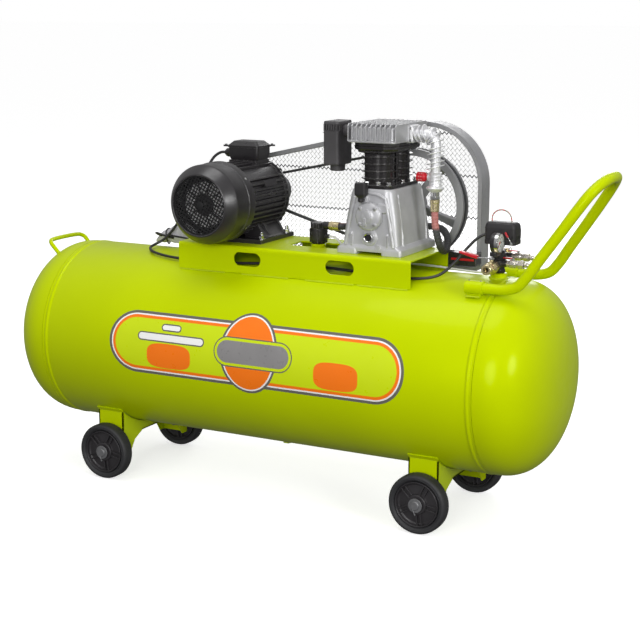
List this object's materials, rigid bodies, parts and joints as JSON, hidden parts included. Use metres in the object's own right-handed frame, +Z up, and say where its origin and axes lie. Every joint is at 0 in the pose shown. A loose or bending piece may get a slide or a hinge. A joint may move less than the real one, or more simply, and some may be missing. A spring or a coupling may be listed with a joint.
{
  "type": "air compressor",
  "caption": "Belt-driven piston air compressor on a horizontal wheeled receiver, with electric motor, finned pump, mesh belt guard, pressure controls and pull handle.",
  "frame": {"origin": "centre of the bottom of the whole assembly's bounding box, on the floor under the receiver", "axes": "+X along the receiver towards the controls and pull handle, -Y the labelled front, +Z up"},
  "size_m": [1.6894, 0.5, 1.004],
  "materials": {
    "lime_paint": "gloss yellow-green enamel",
    "black_paint": "satin black enamel",
    "black_plastic": "moulded, lightly textured",
    "tyre": "solid rubber tyre on a black moulded rim",
    "rubber": "smooth rubber",
    "cast_alloy": "sand cast, painted silver-grey",
    "cast_iron": "cast and turned, grey",
    "steel": "machined",
    "grey_paint": "grey powder coat",
    "brass": "nickel-toned brass, turned",
    "red_plastic": "dipped vinyl and moulded red plastic",
    "white_plastic": "translucent white tube, pale grey film packet"
  },
  "bodies": {
    "frame": {"tank_barrel": "lime_paint", "tank_end_left": "lime_paint", "tank_end_right": "lime_paint", "deck": "lime_paint", "saddle_left": "lime_paint", "saddle_right": "lime_paint", "handle_right": "lime_paint", "handle_left": "lime_paint", "motor_frame": "black_paint", "motor_end_shield": "black_paint", "fan_cover": "black_paint", "terminal_box": "black_paint", "terminal_box_lid": "black_paint", "cylinder_block": "black_paint", "valve_plate": "black_paint", "check_valve": "black_paint", "manifold": "black_paint", "guard_rail": "black_paint", "terminal_gland": "black_plastic", "sight_glass": "black_plastic", "oil_breather": "black_plastic", "intake_filter": "black_plastic", "switch_base": "black_plastic", "switch_cover": "black_plastic", "gauge_case": "black_plastic", "v_belt": "rubber", "discharge_hose": "rubber", "motor_lead": "rubber", "crankcase": "cast_alloy", "bearing_cover": "cast_alloy", "piston_front": "cast_alloy", "piston_rear": "cast_alloy", "cylinder_head": "cast_alloy", "discharge_elbow": "cast_alloy", "motor_stator": "steel", "guard_front": "grey_paint", "guard_rear": "grey_paint", "ball_valve": "brass", "outlet_valve_front": "brass", "outlet_valve_rear": "brass", "safety_valve": "brass", "wire_loop": "red_plastic", "relief_valve": "red_plastic", "unloader_tube": "white_plastic", "packet": "white_plastic"},
    "wheel_front_left": {"wheel_front_left": "tyre"},
    "wheel_rear_left": {"wheel_rear_left": "tyre"},
    "wheel_front_right": {"wheel_front_right": "tyre"},
    "wheel_rear_right": {"wheel_rear_right": "tyre"},
    "crank": {"crankshaft": "steel", "flywheel": "cast_iron"},
    "rotor": {"motor_rotor": "steel", "cooling_fan": "black_plastic", "motor_pulley": "cast_iron"},
    "ball_valve_lever": {"ball_valve_lever": "red_plastic"},
    "outlet_lever_front": {"outlet_lever_front": "red_plastic"},
    "outlet_lever_rear": {"outlet_lever_rear": "red_plastic"},
    "switch_lever": {"switch_lever": "red_plastic"},
    "gauge_needle": {"gauge_needle": "red_plastic"},
    "safety_ring": {"safety_ring": "steel"}
  },
  "joints": [
    {"name": "wheel_spin_front_left", "type": "hinge", "parent": "frame", "child": "wheel_front_left", "pos_m": [-0.53241, -0.185, 0.0775], "axis": [0, 1, 0], "continuous": true},
    {"name": "wheel_spin_front_right", "type": "hinge", "parent": "frame", "child": "wheel_front_right", "pos_m": [0.42359, -0.185, 0.0775], "axis": [0, 1, 0], "continuous": true},
    {"name": "wheel_spin_rear_left", "type": "hinge", "parent": "frame", "child": "wheel_rear_left", "pos_m": [-0.53241, 0.185, 0.0775], "axis": [0, 1, 0], "continuous": true},
    {"name": "wheel_spin_rear_right", "type": "hinge", "parent": "frame", "child": "wheel_rear_right", "pos_m": [0.42359, 0.185, 0.0775], "axis": [0, 1, 0], "continuous": true},
    {"name": "crank_spin", "type": "hinge", "parent": "frame", "child": "crank", "pos_m": [0.22909, 0.022, 0.773], "axis": [0, 1, 0], "continuous": true},
    {"name": "motor_spin", "type": "hinge", "parent": "frame", "child": "rotor", "pos_m": [-0.20241, 0, 0.7865], "axis": [0, 1, 0], "continuous": true},
    {"name": "ball_valve_turn", "type": "hinge", "parent": "frame", "child": "ball_valve_lever", "pos_m": [0.54959, -0.052, 0.685], "axis": [0, 0, 1], "range_deg": [0, 90]},
    {"name": "outlet_front_turn", "type": "hinge", "parent": "frame", "child": "outlet_lever_front", "pos_m": [0.59289, -0.018, 0.685], "axis": [0, 0, 1], "range_deg": [0, 90]},
    {"name": "outlet_rear_turn", "type": "hinge", "parent": "frame", "child": "outlet_lever_rear", "pos_m": [0.59289, 0.018, 0.698], "axis": [0, 0, -1], "range_deg": [0, 90]},
    {"name": "switch_throw", "type": "hinge", "parent": "frame", "child": "switch_lever", "pos_m": [0.58959, -0.0245, 0.722], "axis": [0, 1, 0], "range_deg": [0, 35]},
    {"name": "gauge_sweep", "type": "hinge", "parent": "frame", "child": "gauge_needle", "pos_m": [0.56859, -0.05, 0.726], "axis": [-1, 0, 0], "range_deg": [0, 270], "stiffness_Nm_per_rad": 0.0002},
    {"name": "safety_pull", "type": "slide", "parent": "frame", "child": "safety_ring", "axis": [0, 1, 0], "range_m": [0, 0.004], "stiffness_N_per_m": 300}
  ],
  "couplings": [
    {"joint": "motor_spin", "follows": "crank_spin", "ratio": 3.3333}
  ]
}
